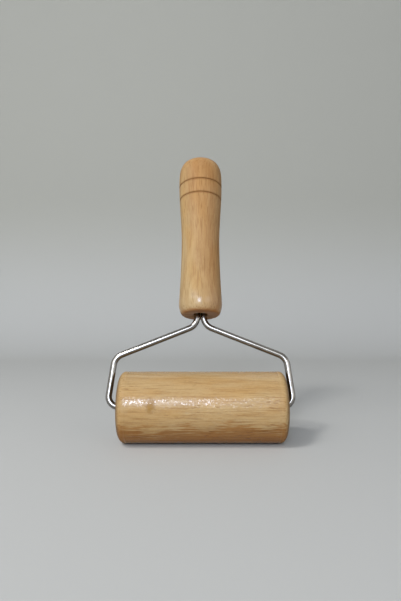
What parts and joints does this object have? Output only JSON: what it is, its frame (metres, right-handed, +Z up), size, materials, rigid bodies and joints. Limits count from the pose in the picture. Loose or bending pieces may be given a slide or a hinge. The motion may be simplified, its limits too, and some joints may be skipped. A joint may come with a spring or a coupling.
{
  "type": "rolling pin",
  "caption": "Hand-held pastry roller: a varnished wooden barrel spins freely on a bent steel wire yoke that carries a turned wooden handle.",
  "frame": {"origin": "on the flat that the roller rests on, straight below the middle of the axle", "axes": "+X along the axle, +Y towards the side that the handle leans to, +Z up from the surface that the roller rests on"},
  "size_m": [0.117, 0.0858, 0.1865],
  "materials": {
    "handle_wood": "glossy clear varnish",
    "roller_wood": "satin clear varnish",
    "plated_wire": "bright plated steel wire"
  },
  "bodies": {
    "grip": {"handle": "handle_wood", "wire_yoke": "plated_wire"},
    "roller": {"roller": "roller_wood"}
  },
  "joints": [
    {"name": "roller_spin", "type": "hinge", "parent": "grip", "child": "roller", "pos_m": [0, 0, 0.0215], "axis": [1, 0, 0], "continuous": true}
  ]
}
